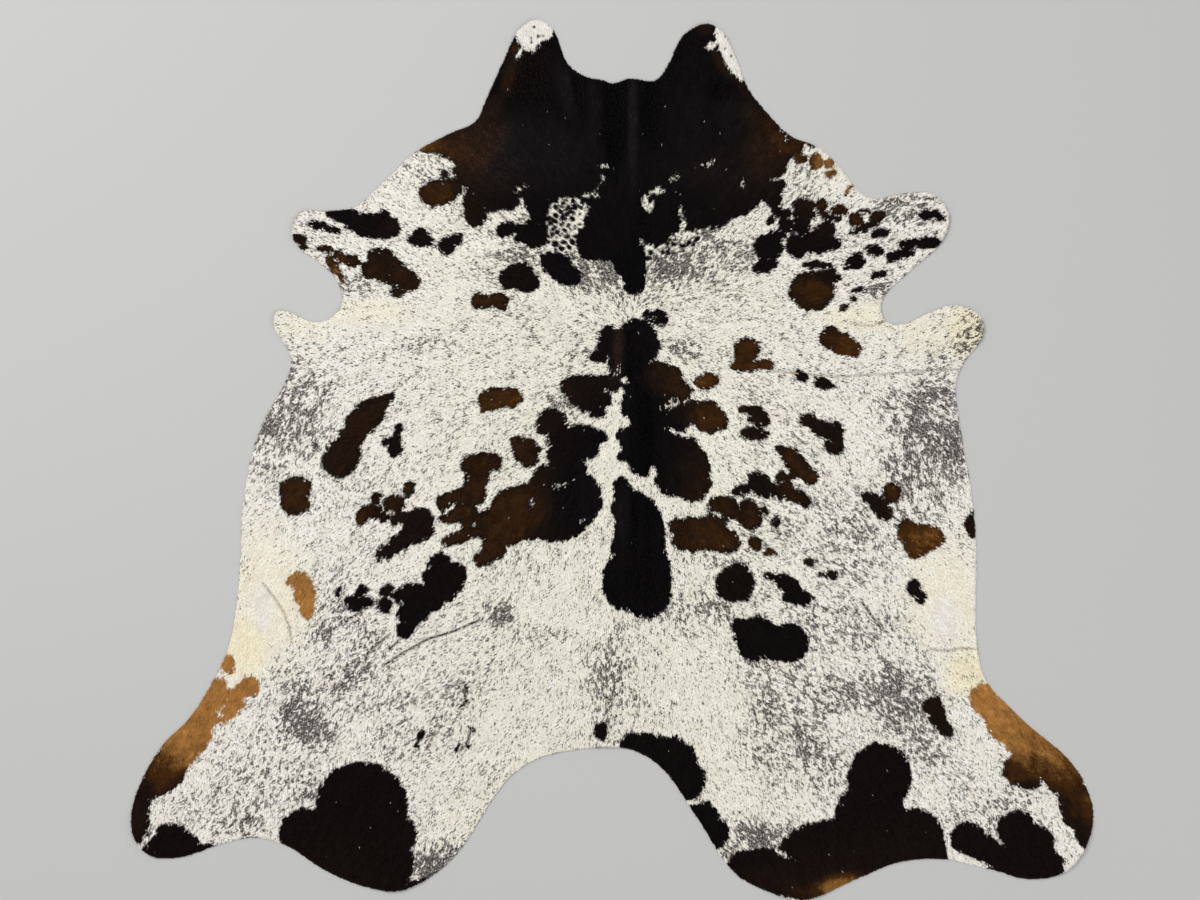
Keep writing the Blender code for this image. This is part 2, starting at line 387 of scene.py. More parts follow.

# %% [markdown]
# ## Dark markings
#
# A marking on a real coat is a group of round lobes that have grown into each other. Each row
# below is one lobe, placed on the photograph: its middle and half lengths in pixels, its
# tone, from 0 for black through 1 for dark brown and 2 for brown to 3 for tan, and its turn
# anticlockwise in degrees where it has one. The lobes of a region melt where they touch.

# %% Dark lobes, region by region
LOBES = {
    "neck": """
600  96 190 88 -0.3
429 144  15  9  2.3 15
445 148  14  8  1.7
462 150  18 15  1.2
478 157  22 20  0.9
470 172  18 13  0.8
720 165  42 26  0.1
480 178  20 14  0.5
560 168  60 20 -0.3
500 172  26 24  0.1
444 174   4  4  0.6
438 193  19 13  1.5
429 196   9  9  1.6
450 189  12 10  1.2
474 206  11 18  0.5
476 216  11 10  0.5
479 194  14 14  0.4
497 199  17 13  0.2
511 201   8 10    0
532 197  14 14 -0.2
544 197   8 14 -0.2
549 188  16 16 -0.3
566 181  30 16 -0.3
628 195  44 42 -0.4
597 220  20 30 -0.4 8
592 242  16 19 -0.4
606 245  18 17 -0.4
628 255  17 24 -0.6
634 281  11 15 -0.6
641 270   5 21 -0.6
633 284   9 10 -0.6
538 212   9 11 -0.2
692 221  15 10 -0.1
716 216  15 12    0
737 208  12  8  0.1
652 226  22 20 -0.3 -25
668 212  22 22 -0.2
690 198  24 25 -0.1
703 213  13 15 -0.1
716 208  19 20    0
730 202  17 17    0
745 188  26 22  0.1
762 190  13 14  0.2
774 195   9 14  0.3
777 184  10  8  0.3
762 150  25 36  0.7
776 166  11 11  0.8
785 148  12  8  1.5 -20
797 147   8  6  1.8 -30
797 139  12  6  1.4 -30
809 144   8  4  1.6 -32
""",
    "left shoulder": """
503 230  7  8    0
510 229  8  7 -0.1
522 234  9 10 -0.2
534 234 14 16 -0.3
535 222  8  9 -0.2
541 227  7  9 -0.3
557 265 17 13 -0.2 -32
564 273 16 12 -0.2 -20
571 276  9  9 -0.2
551 260 10  9 -0.2
515 277 15 11  0.3 -8
521 270 13  7  0.2
527 282 12 11  0.2
507 279  8 10  0.4
477 300  6  7  1.5
486 302  8  7  1.5
499 299  9  7  1.6
492 302  7  5  1.6
502 306  6  4  1.6
648 315  6  5    0
658 314  6  6    0
663 318  5  8    0
656 322  7  4    0
""",
    "left foreleg": """
342 214 17  6   0
376 226 25 13   0 -6
384 214  6  5   0
388 228  6  5 0.1
372 234 12  3   0
354 222 14 10   0 -20
317 225 11  4 0.1 -10
333 230  9  4 0.1 -12
300 239  8  5 0.8
303 247  5  3   1
325 249 10  4   1 -8
340 257  9  5 1.8 -30
352 261  9  6   1 -10
330 260  5  5 2.3
335 268  8  5 2.3 -60
341 276  6  3 2.2 -80
380 256 13  9   1
388 270 22 14 1.1 -22
372 270 11  9 1.2
408 280 14 10   1 -20
397 292  8  7 1.1
420 232  7  5 0.3
421 240 14  7 0.3
455 240  9  6 0.3 10
447 246  9  9 0.3
""",
    "right foreleg": """
800 157  7  7 1.5 -40
816 161  7  9 2.4
829 164  5  5 2.5
831 174  6  3 2.5
848 190  6  2 2.7 60
803 205 12  7 0.9
804 214 12  7 0.7
801 226 10 10 0.1
822 205  7  6 1.8
823 213  4  5 1.2
839 210  9  6 1.8
832 217  5  3 0.2
838 219  3  3 0.2
822 233 15  9 0.6 38
797 246 12 13   0
812 241 12 10   0
825 245 17  8   0 14
781 213 10  6 0.1 -10
770 222  5  5 0.1
786 225  8  9 0.1
777 236  8  5 0.1
768 248 15 14   0
765 266 14  7 0.1 16
816 265 15  4 0.5
812 291 23 20 1.2
829 277 12  8 0.4
856 220  8  7 1.8 10
866 211  7  3 1.8
877 217  9  6 1.3 15
864 228 16  4 0.6 22
881 233 11  5 0.1 12
928 215 10  5 0.1
940 218  6  3 0.1
908 244 10  5 0.2
926 243 17  6 0.1
875 250 10  5 0.1 -10
895 256  9  6 0.1 12
905 253  8  4 0.1
857 260  8  8 0.1
850 267  5  2 0.1 20
879 275  9  4 0.3 20
858 290  8  3 0.2 20
853 300  4  3 0.3 10
844 307  6  3 1.2 20
""",
    "spine": """
637 335 19 16 -0.2
633 349 26 18 -0.3
645 346 16 12 -0.3
611 338 13 12  0.1
607 350 10  8  0.1
600 357 10  7  0.1
614 356  8 18  0.6
635 372 16 26 -0.6
656 372 13 11  0.9
668 376 14 12  1.2
672 388 15 12  1.5
682 392 10  9  1.6
656 392 16 16  0.5
646 405 24 30 -0.7
642 440 22 28 -0.8
644 458 16 19 -0.8
624 436  8  9 -0.6
630 452  8 14 -0.6 -60
694 412 17 12  0.9
707 417 14 17  1.6
719 420  9 11  1.7
681 415 13 14  0.4
666 440 20 26 -0.3
684 450 16 16  0.2
690 466 20 22  0.7
700 480 11 20    1
692 493 13 10  1.1
674 480 16 16  0.2 -20
664 470 12 20 -0.3
590 384 25 10  0.4
570 387 10 10  1.1
577 396 10  8    1
590 399 16 14  0.2
598 412  8  8    0
604 399  8  9  0.3
626 404  5 11 -0.4
613 385  8  9  0.9
622 490  9 14 -0.4
631 500 17 12 -0.4 -25
636 514 26 20 -0.4 -20
640 534 26 28 -0.4
638 546 28 14 -0.4
637 576 34 30 -0.3
646 592 25 27 -0.3
622 588 18 22 -0.3
657 570 14 22 -0.3
""",
    "left flank": """
551 420 14 12  0.6
557 430 12 10  0.4
546 428 10  8  0.8
580 436 22 12 -0.2
596 438 11  7 -0.4
583 450 17 11 -0.2
563 450 18 22  0.2
574 466 12 12 -0.1
526 451 14 14  1.4
520 444  9  8  1.5
530 462  9  7  1.4
571 490 28 22 -0.2
584 500 18 24 -0.4
568 516 22 20 -0.1
556 530 22 12  0.2
545 478 14 14  0.6
540 495 20 18  0.9
528 512 26 28  1.3
512 508 22 20  1.5 25
503 526 24 22  1.4
494 548 13 12  1.4
485 558 12  8  1.2 20
482 464 13 12  1.2
470 465 10  9  1.2
494 463  9  9  1.2
478 478 12  9  1.2
474 492 13 15  1.2
459 497 18  8  1.3 5
444 503  8  7  1.3 40
462 511 14  8  1.4
452 517 13  7  1.6 10
458 538 14  7  1.4 12
448 541  7  5  1.5
478 525 18 14  1.1
486 400  9  9  1.8
497 395 13  8  1.8
510 398 13 11  1.8
492 406 12  5  1.7
342 457 22 18    1 60
365 418 26 15  1.1 45
352 437 14 12  1.1
384 401  9  6  0.9 38
392 396  4  4  0.8
398 430  8  4  0.3 62
396 439  6  5  0.3 70
388 442  7  4  0.3
395 448  8  9  0.3
296 489 16 13  1.4
295 502 15 14  1.5
409 490  9  6  1.2 70
394 503 12  9  1.5 20
376 498  5  5  0.7
363 516 11  6  1.8 70
373 511  9  8  0.9
384 518  6  5  1.3 45
397 518  9  6  0.8 40
420 520 14 13  0.4
412 534 15 11  0.5 30
400 543 15  9  0.6 30
385 553 10  7  0.7 20
427 531  8  9  0.4
""",
    "left belly": """
298 581 11  9 2.8
300 591  7  9 2.8
306 595 10 15 2.9
307 611  7  8 2.9
339 591  6  3 0.2 60
362 591  7  5 0.1 50
353 601  9  7   0
364 602 11  5   0
354 609  7  4   0
387 590  8  6 0.7 30
385 606  8  8 0.2
440 564 12 11 0.1
445 580 20 17 0.1
457 574 10 12 0.1
432 577 11  9 0.1
413 594 21 10 0.1 8
430 600 16 12   0
443 594 13 10 0.3
414 612 18 13   0 10
405 629  9  8   0 30
465 693  8  1 0.2 80
463 705  5  1 0.2 50
420 737  8  3   0 65
417 746  3  2 0.1
457 747  6  2 0.1 65
471 728  4  2 0.1 -20
468 746  3  2 0.5
""",
    "right flank": """
831 338 12 11 1.2
845 345 18 11   2 -22
747 349 13 12 1.6
746 366 16  6 1.9
745 358 12  7 1.8
766 365  9  6 2.1 -10
707 381 13  8 1.9 8
801 376  7  6 0.4 -30
824 384 11  6 0.5 -12
751 411 13  5   1 -8
757 418  9  7   1
765 422  6  5 0.9
752 433 12  7 0.7
763 436  5  5 0.6
808 420  9  7 0.9
823 430 13  9 0.7 -25
836 434  8 11 0.6
834 447 11  8 0.8 -15
782 450  7  5 1.1 -20
794 461 17 10 1.4 -48
804 470  9  7 1.1 -45
811 477  7  9 1.4
795 475  7  5   1
757 478 10  6 0.3
763 487 15 10 0.3 -20
776 494  8  5 0.3 -20
741 490 10  6 0.4 10
781 477  6  7 1.5
786 487  9  8 1.3 -50
793 496  9  8 1.3
804 500  9  6 1.2 -50
677 527  9  9   1
680 541 10  9 1.1
694 535 17 17 1.4
711 535 17 17 1.5
725 541 13 12 1.5
735 543  6  8 1.4
703 522 26  5 1.3
724 508 17 13 1.2
748 513 14 12 1.3 -20
751 522 10  8 1.4
765 511  6  3 0.4 -40
776 522  5  5 0.3
755 544  9  6 1.4 -50
770 552  6  4 2.1
810 562  6  4   1 -20
822 574  5  2 0.6 -10
833 575  5  5 1.2
735 584 20 19 0.3
738 571 10  8 0.4
774 577  9  4 0.1 -15
788 585 15  9 0.1 -35
797 597 15  8   0 -5
805 599  7  7   0
757 637 22 21   0
789 643 19 20   0
772 643 20 17   0
752 650 12 12   0
740 627  9  8   0
867 497  7  6 0.5 -40
879 505 15  9 0.6 -50
885 514  8  7 0.7
891 493 11  9 1.8 -60
908 531 11 12 1.9
928 538 17 13 2.1
917 545 14 13 2.1
916 535 18 12 2.1
974 525  9 13 0.9
914 588  7 10 0.3
921 597  5  7 0.4 -20
932 704  9  9 0.9
937 715  9 12 0.8
945 728 11  7 0.8 -60
""",
    "left hind leg": """
228 664  7 10    3
218 685  9  6  2.9 50
211 696 14  9  2.9 45
224 703 23 17    3 42
249 687 11 10    3 30
187 740 36 20 2.85 54
166 770 30 19  1.8 54
150 790 12 10  1.1 40
140 812 31 10  0.8 86
171 843 22 20  0.2
154 851 12 10  0.2
187 845 13 12  0.2
205 850 14  7  0.2
362 806 46 44  0.1
307 834 28 26  0.2
345 862 66 40  0.3 -18
395 836 23 22  0.2
386 862 28 30  0.2
424 884 34  6  0.3 14
448 869 12  4  0.3 38
""",
    "right hind leg": """
 601 731  7 10  0.1
 637 744 18 12    0 5
 654 750 20 15    0
 674 758 24 20    0 -30
 688 780 18 20    0
 703 820 20 17    0 -60
 717 833 12 16    0
 880 777 32 34  0.1
 870 818 36 36  0.1
 826 846 42 26  0.2 5
 800 852 18 20  0.2
 765 874 44 26  0.2 5
 744 862 14 12  0.3
 835 868 70 38  0.5
 914 838 30 30  0.3
 934 858 14 24  0.3
 967 838 17 16  0.2
 974 851 14  7  0.2 -20
 985 848 18 13  0.2 -30
1003 857 20 13  0.2
1017 830 20 20  0.2
1034 845 20 22  0.2
1042 864 22 16  0.2
1010 867 22 11  0.2 10
1034 872 24  9  0.2
1054 868 10 11  0.3
 985 699 15 16    3
1007 722 28 20    3 -45
1033 748 32 23  2.6 -45
1022 770 19 15  1.9
1030 782 13  8  1.2
1062 772 26 21 2.25 -60
1074 802 28 16  1.4 -80
1088 812  8 24  1.2
1082 826 22 10  0.5 -80
""",
}
DARK = {name: table("x y long wide tone turn", rows) for name, rows in LOBES.items()}
print("dark lobes:", sum(len(rows["x"]) for rows in DARK.values()))

# %% [markdown]
# White marks lie inside the dark ones: the pale tips of the neck lobes, the thin white partings
# between two lobes, and a few nicks of white hair. Small black spots lie inside the white tips in
# turn. Below the neck are fields where small black spots crowd so much that only thin white lines
# part them.

# %% White marks, late spots and crowded fields
WHITE = table("x y long wide turn", """
 534  31  19  13 15
 528  42   9   9 30
 519  53   7   2 55
 721  39  14   5 -74
 734  52  18   5 -62
 729  56  20   6 -62
 738  70  12   5 -60
 711  46   5   3 10
 522 202 1.6   4 20
 459 199   3 0.5 -70
 603 178 0.8   1
 598 187 0.8   5 -25
 588 195   7 1.6 12
 604 166 2.4 0.3 -15
 579 209   8   9
 573 221  11  11
 559 206   6   9 -25
 559 221  13  10
 561 236  13   8
 556 246  10   7 10
 572 254   7   1 -50
 579 261   6   1 -40
 711 163   3 0.4 25
 742 185 0.6   2
 656 192  10   3 8
 648 203   6   9 10
 681 212   1   6 10
 683 226   2   6 -20
 778 179   6   1 10
 762 207   4   5
 807 150   4   5
 672 405   8 0.9 15
 681 434  10 1.4 -15
 652 473   2   8
 619 421  11   6 -10
 613 412   7   8
 624 380   3   3
 620 391   5   1 60
 546 450   1   6 -15
 541 462   6   1 45
 530 469   7   1 20
 538 441   4   1 -40
 448 511   9 1.3 40
 582 521   1 1.4
 562 485 2.4 0.3 15
 531 504 0.6 2.5 -20
 474 526 1.5   1
 714 513   9   1 -25
 738 503   1   4 10
 781 853   9   2 -35
 231 684   4   5
 222 708 3.5 0.3 50
 150 838  12 1.2 55
 221 716   2 0.4 -50
1007 755   5   2 20
 697 802   5   2 5
""")

SPOTS = table("x y long wide tone turn", """
534 27.5 1.7 1.5 0.2
531   38 1.3 1.2 0.2
538 36.5 1.7 1.5 0.2
543   36 1.3 1.2 0.2
531 42.5 1.5 1.2 0.2
725   49 1.4 1.2 0.2
731   56 1.6 1.4 0.2
""")
CROWDED = table("x y long wide turn", """
563 224 19 30
576 205 12 11 12
652 198 12 10 20
664 250 20  9 27
690 243 14  5 27
""")
SPOT_PITCH, SPOT_WALL = 15 * MM, 1.5 * MM  # of a crowded field; a wall is twice that wide
print("white marks:", len(WHITE["x"]), " spots:", len(SPOTS["x"]), " fields:", len(CROWDED["x"]))

# %% [markdown]
# ## Painting the lobes onto the map
#
# The distance to an ellipse is close to k0 (k0 - 1) / k1, where k0 is the length of the place in
# units of the half lengths, and k1 the same with their squares. Lobes melt together with a soft
# minimum: minus the logarithm of the sum of exp(-distance / melt). The tone is the mean of the
# lobes' tones, each weighted by how deep in it the place is. Real outlines are scalloped, because
# hair grows in tufts: the size of a smooth noise has round humps with sharp notches between them,
# and taken off the distance it gives such a line.

# %% Distance to the dark markings, and their tone
MELT = 2.4 * MM
TONE_MELT = 16 * MM
REACH = 44 * MM  # how far round itself a lobe is worked out
FAR = 60 * MM  # distances are cut off there


def ellipses(rows):
    """Middle, half lengths and turn of each row's ellipse, in metres and radians."""
    halves = rows["long"] * PIXEL, rows["wide"] * PIXEL
    return zip(*metres(rows["x"], rows["y"]), *halves, np.radians(rows["turn"]))


def turned(dx, dy, turn):
    """A shift's parts along and across a line that is turned by `turn`."""
    return dx * math.cos(turn) + dy * math.sin(turn), dy * math.cos(turn) - dx * math.sin(turn)


def lobes(rows):
    """For each row of a table: its part of the map, and the distance to its ellipse there."""
    for x0, y0, a, b, turn in ellipses(rows):
        reach = max(a, b) + REACH
        first, last = (np.clip((x0 + s * reach - LEFT) / CELL, 0, COLUMNS) for s in (-1, 1))
        under, over = (np.clip((y0 + s * reach - FOOT) / CELL, 0, ROWS) for s in (-1, 1))
        part = slice(int(under), int(over)), slice(int(first), int(last))
        u, v = turned(MAP_X[part] - x0, MAP_Y[part] - y0, turn)
        k0 = np.hypot(u / a, v / b)
        k1 = np.maximum(np.hypot(u / a**2, v / b**2), 1e-6)
        yield part, np.clip(k0 * (k0 - 1) / k1, -FAR, FAR)


def melted(rows):
    """Distance to all of a table's lobes, melted together, and the mean of their tones."""
    near = np.full(MAP_X.shape, math.exp(-FAR / MELT))
    weights = np.full(MAP_X.shape, 1e-9)
    tones = np.zeros(MAP_X.shape)
    for (part, gap), value in zip(lobes(rows), rows.get("tone", rows["x"])):
        near[part] += np.exp(-gap / MELT)
        weights[part] += np.exp(-gap / TONE_MELT)
        tones[part] += np.exp(-gap / TONE_MELT) * value
    return -MELT * np.log(near), tones / weights


edge = np.full(MAP_X.shape, FAR)
tone = np.zeros(MAP_X.shape)
for rows in DARK.values():
    gap, mixed = melted(rows)
    tone = np.where(gap < edge, mixed, tone)
    edge = np.minimum(edge, gap)
SCALLOP, SCALLOP_IN = 2.8 * MM, 0.5  # depth of the notches, and where their ellipse runs
WHITE_SCALLOP = 0.8 * MM
edge += SCALLOP * (SCALLOP_IN - np.abs(LOBE_GRAIN)) * step(np.abs(edge), 30 * MM, 10 * MM)
edge = np.maximum(edge, -melted(WHITE)[0] + WHITE_SCALLOP * LOBE_GRAIN)


def cell_walls(pitch, seed):
    """Distance to the wall between the nearest two of the points strewn one to each square."""
    rng = np.random.default_rng(seed)
    i, j = ((MAP_X - LEFT) / pitch).astype(int) + 1, ((MAP_Y - FOOT) / pitch).astype(int) + 1
    strewn = rng.uniform(0.04, 0.96, (2, j.max() + 2, i.max() + 2))
    gaps = []
    for di, dj in ((a, b) for a in (-1, 0, 1) for b in (-1, 0, 1)):
        x = (i + di - 1 + strewn[0, j + dj, i + di]) * pitch + LEFT - MAP_X
        y = (j + dj - 1 + strewn[1, j + dj, i + di]) * pitch + FOOT - MAP_Y
        gaps.append(np.hypot(x, y))
    nearest = np.sort(np.stack(gaps), axis=0)
    return (nearest[1] - nearest[0]) / 2


CROWD_SEED = 21
CROWD_EDGE, CROWD_FADE = 6 * MM, 4 * MM  # spots shrink by the fade in the last of a field
fields = melted(CROWDED)[0]
crowd = SPOT_WALL * (1 + 0.5 * LOBE_GRAIN) - cell_walls(SPOT_PITCH, CROWD_SEED)
crowd = crowd + CROWD_FADE * step(fields, -CROWD_EDGE, CROWD_EDGE)
edge = np.where(fields < CROWD_EDGE, np.minimum(edge, crowd), edge)
spots = melted(SPOTS)[0]
edge = np.minimum(edge, spots)
CRISP = 0.2  # small marks keep this share of an outline's fuzz
FUZZ = CRISP + (1 - CRISP) * step(np.minimum(fields, spots - 4 * MM), -2 * MM, 8 * MM)
print("dark share of the hide:", round(float((edge[GAP > 0] < 0).mean()), 3))

# %% [markdown]
# Inside a large marking the hair is not one colour. It browns where it is thin or bleached, and it
# is bluish black along the spine. A few rows paint light and shade into the tone as well: a lighter
# brown as painted sheen on brown hair, and the darkest tone as painted shade in the valley of the
# neck's fold. Each row below is a soft ellipse that draws the tone towards its own, by the share
# given.

# %% Tints, painted sheen and painted shade inside the markings
# the first row is painted shade in the neck fold's valley; the rows at 818 292 and 842 885 are
# painted sheen
TINTS_AND_PAINTED_LIGHT = table("x y long wide tone share turn", """
 617 125 13 55   -1 0.9
 600 130 90 60 -0.5 0.7
 446 148 30 14  1.5 0.8 10
 530  72 22 34  0.5 0.6
 428 148 12  8  2.3 0.8 15
 475 136 36 26  1.2 0.7 20
 517  50  8  9  1.9 0.9
 509  78  8 24  1.2 0.9 -15
 492 105 12 10  1.2 0.7 45
 706  30  9  7  1.2 0.8
 724  64  8 20  1.5 0.8 36
 745  86  7 14  1.2 0.8 30
 772 125 34 14  1.3 0.8 -42
 785 142 16 12  1.5 0.8
 762 150 16 30  0.9 0.6 10
 436 197 18 12  1.5 0.8
 395 225 20 12  0.8 0.6
 619 350  5 30    1 0.8
 662 378 22 14  1.2 0.6
 706 420 20 16  1.6 0.6
 532 480 22 34  1.2 0.4
 515 510 26 28  1.4 0.5
 818 292 14 12  1.7 0.8
 830 890 60 12  1.5 0.7 5
 842 885 26 13  2.7 0.9 12
1012 770 14  7  1.5 0.7 -30
1040 764 14  8  1.8 0.7 -45
1060 782 12 14  1.6 0.6 -60
1030 786 16  6  0.7 0.8
1062 806  8 20  0.8 0.7 25
1087 806  6 22  2.1 0.8 5
1084 828  6 10  0.8 0.8 -20
 178 782 16  9    1 0.7 45
 148 800  9 16  0.6 0.7
 190 758 12 24  2.5 0.5 -38
 880 850 50 30  0.5 0.5
 770 880 30 14    1 0.6
 340 870 30 16  0.5 0.5
""")


def soft_ellipses(rows, inner, outer):
    """Each row's weight over the map, from 1 at `inner` half lengths to 0 at `outer`."""
    for x0, y0, a, b, turn in ellipses(rows):
        u, v = turned(MAP_X - x0, MAP_Y - y0, turn)
        yield 1 - step(np.hypot(u / a, v / b), inner, outer)


TINT_FADE = 0.35, 1.5  # half lengths at which a tint begins to fade, and ends
TUFT_TONE, LOBE_TONE = 0.06, 0.08
RIM_TONE, RIM_DEPTH = 0.9, 5 * MM  # a brown marking darkens this much towards its outline


def paint(field, rows, name):
    """Draw a map towards the rows' values of that name, in soft ellipses, by their shares."""
    for value, share, weight in zip(rows[name], rows["share"], soft_ellipses(rows, *TINT_FADE)):
        field += (value - field) * share * weight


# tints, with painted sheen on brown hair and the painted shade in the valley of the neck's fold
paint(tone, TINTS_AND_PAINTED_LIGHT, "tone")
tone += (TUFT_TONE * TUFT_GRAIN + LOBE_TONE * LOBE_GRAIN) * step(tone, 0.4, 1.4)
darker = RIM_TONE * np.exp(np.minimum(edge, 0) / RIM_DEPTH)
tone -= darker * step(tone, 0.9, 1.5) * step(tone, 2.6, 2.0)
print("tints:", len(TINTS_AND_PAINTED_LIGHT["x"]))

# %% [markdown]
# Black hair is glossy, and a fold or a change in its lie makes it lighter or darker. Such broad
# bands are part of the photograph's look, so they are painted too: each row draws the brightness
# of the dark hair towards its own, as a multiple of the usual one.

# %% Painted sheen and shade of the dark hair
PAINTED_SHEEN_AND_SHADE = table("x y long wide light share turn", """
600 172 130 30 2.4 0.8
530 150  66 36 4.4 0.8
690 130  26 46   3 0.8
462 140  30 20 1.7 0.8 15
780 150  26 20 1.4 0.8 -30
735 165  40 40 2.6 0.7
615 122  14 56   0   1
633 124   5 60   6 0.9
651 106  10 36 0.3 0.9
594 112   8 34   4 0.8
566  88   9 26   5 0.8 10
578  97   5 26 0.3 0.9 12
531  82  16 26 0.3 0.8
700  70  26 16 1.5 0.6
724  92  20 12 0.3 0.8
734 118  18 22 3.6 0.8
627 215   3 40 2.4 0.6
608 225  22 36 1.5 0.7
645 225   8 40 0.5 0.7
618 345   6 30 2.6 0.8
629 350   4 40 0.2 0.9
638 425   9 60 0.2 0.9
650 440   3 40 0.2 0.8
660 400   8 60 1.3 0.7
622 440   7 18   3 0.8
620 515  10 28 3.2 0.8
634 530   4 40 0.3 0.8
648 530   4 44 0.5 0.7
636 586  30 26 0.5 0.6
590 495  12 30 2.4 0.7
572 480   4 30 0.4 0.7
596 438  10  6 0.5 0.7
""")
# painted sheen and shade: the dark hair's brightness as a multiple, above 1 for sheen, below 1 for
# shade
painted_sheen_and_shade = np.ones(MAP_X.shape)
paint(painted_sheen_and_shade, PAINTED_SHEEN_AND_SHADE, "light")
print("sheen bands:", len(PAINTED_SHEEN_AND_SHADE["x"]))

# %% [markdown]
# ## Flecks, bare patches and tints
#
# Between the markings the coat is roan: cream-white hair with dark hairs strewn through it in
# short streaks. Some areas are dense and some nearly clean. Each row is one cloud, and its share
# says how many of the hairs there are dark. Along the belly the hair is so fine and pale that
# the warm skin shows, which the second table gives.

# %% Roan clouds and bare patches
ROAN = table("x y long wide share turn", """
290 430 38 60 0.64 10
300 400 30 30 0.47
308 718 36 28 0.71 20
330 700 60 25  0.5 30
280 690 30 30 0.44
290 780 60 30 0.42 10
430 712 60 36 0.36 20
340 640 30 40 0.44 40
230 810 50 30 0.38
925 445 42 64 0.68
813 550 90 52 0.38
738 248 30 22 0.46
905 500 30 30  0.5
850 640 70 36 0.34 -30
900 620 26 26  0.5
790 730 60 46  0.5 -20
895 700 34 34 0.64 -40
925 740 34 24 0.54 -40
860 690 50 30  0.5
700 262 46 30  0.6
660 272 14 18  0.6
698 240 20  9  0.7 28
594 275 24 19  0.8
520 256 26  8 0.61
574 256  7  9 0.72 30
535 214  8  8  0.6
800 182 20 26 0.44
906 209 26 16  0.8
880 290 15  8  0.8 20
975 335 22 30 0.58
690 352 34 12 0.44
578 360 22 10  0.5 30
562 406 26  9  0.5 -20
700 620 36 22 0.58
610 690 24 46 0.48
508 612 18 13  0.8
540 635 26 12 0.53
432 862 30 15  0.8 20
760 836 34 14  0.8
736 848 14 14  0.8
256 826 20 14 0.55
352 284 18 10 0.45
420 335 50 20 0.32
820 700 60 30 0.58
990 800 40 40 0.42
930 252 20 14 0.34
640 300 26  8 0.47
770 690 40 50  0.5
430 175 24 26 0.44
500 222 40 14 0.44
""")

CALM = table("x y long wide share turn", """
560 590 50 46 0.15
248 742 20 16  0.2
440 303 26 18 0.08
610 440 14 60 0.12
700 720 36 90 0.13
530 720 60 50 0.14
268 600 34 66    0
240 650 30 40    0
945 600 40 50    0
962 670 26 26 0.08
350 320 80 20 0.08
870 320 50 20 0.08
930 320 34 18 0.13
840 180 30 20 0.14
680 505 26 10 0.11
534  33 22 20    0
727  52 12 30    0 20
""")

WARM = table("x y long wide share turn", """
268 600 40 66 0.55
246 645 24 34    1
945 600 40 50  0.5
970 672 24 26    1
360 312 50 12 0.45
300 325 26 16  0.3
868 318 46 14  0.6
968 330 24 26  0.9
930 335 44 22  0.4
840 165 30 24  0.3
520 850 60 60  0.3
""")

BARE = table("x y long wide share turn", """
944 622 16 24   1
262 608 12 26 0.8
534  33 22 20 0.7
727  52 12 30 0.7 20
""")

ROAN_USUAL = 0.21  # share of dark hairs away from all clouds
ROAN_MOST, ROAN_NOISE = 0.8, 0.2
CLOUD_FADE = 0.4, 1.6  # half lengths at which a cloud begins to fade, and ends


def clouds(rows, usual=0.0):
    """Map of soft clouds over a usual share: each place has that of the strongest one over it."""
    field = np.full(MAP_X.shape, usual)
    for share, weight in zip(rows["share"], soft_ellipses(rows, *CLOUD_FADE)):
        field = np.maximum(field, usual + (share - usual) * weight)
    return field


roan = clouds(ROAN, ROAN_USUAL)
for share, weight in zip(CALM["share"], soft_ellipses(CALM, *CLOUD_FADE)):
    roan = roan + (share - roan) * weight
roan = np.clip(roan * (1 + ROAN_NOISE * CLOUD_GRAIN), 0, ROAN_MOST)
warm, bare = clouds(WARM), clouds(BARE)
print("mean roan share:", round(float(roan[GAP > 0].mean()), 3))

# %% [markdown]
# Creases are where the tanned skin was folded for a long time. The coat dips a little along them,
# and the shade in the dip is painted into the hair as a thin dark line. Scratches from the animal's
# life are dark lines too, but shorter.
# Each is a row of pixels that a line passes through.

# %% Creases and scratches
CREASES = {
    "left belly": ((263, 583), (275, 598), (284, 612), (289, 625), (292, 640)),
    "right flank": ((773, 371), (835, 377), (900, 373), (961, 369)),
    "right belly": ((930, 649), (945, 651), (962, 648), (977, 649)),
    "right armpit": ((853, 324), (870, 326), (884, 322)),
}
SCRATCHES = {
    "long": ((385, 665), (403, 653), (428, 639), (455, 631), (482, 619)),
    "upper": ((364, 663), (369, 651), (389, 635)),
    "middle": ((389, 650), (405, 634)),
    "short": ((345, 622), (372, 605)),
    "hip": ((459, 752), (468, 740), (470, 730)),
    "hip spot": ((463, 707), (467, 690)),
    "flank": ((862, 602), (872, 616), (882, 630)),
}
SCRATCH_HALF = 3 * MM  # hair this near a scratch lies along it


def line_distance(lines):
    """Distance of each cell to the nearest stretch of some broken lines, and that one's heading."""
    best, turn = np.full(MAP_X.shape, FAR), np.zeros(MAP_X.shape)
    for marks in lines.values():
        x, y = metres(*np.array(marks, float).T)
        for x0, y0, x1, y1 in zip(x[:-1], y[:-1], x[1:], y[1:]):
            dx, dy = x1 - x0, y1 - y0
            t = np.clip(((MAP_X - x0) * dx + (MAP_Y - y0) * dy) / (dx * dx + dy * dy), 0, 1)
            gap = np.hypot(MAP_X - x0 - t * dx, MAP_Y - y0 - t * dy)
            turn = np.where(gap < best, math.atan2(dy, dx), turn)
            best = np.minimum(best, gap)
    return best, turn


crease_gap, _ = line_distance(CREASES)
scratch_gap, scratch_turn = line_distance(SCRATCHES)
print("creases:", len(CREASES), " scratches:", len(SCRATCHES))

# %% [markdown]
# ## The coat's height
#
# Short hair combed flat follows the skin under it, but it also gathers in flat tufts along its
# lie, a fraction of a millimetre high. Creases dip into it, and it rounds off towards the cut rim.

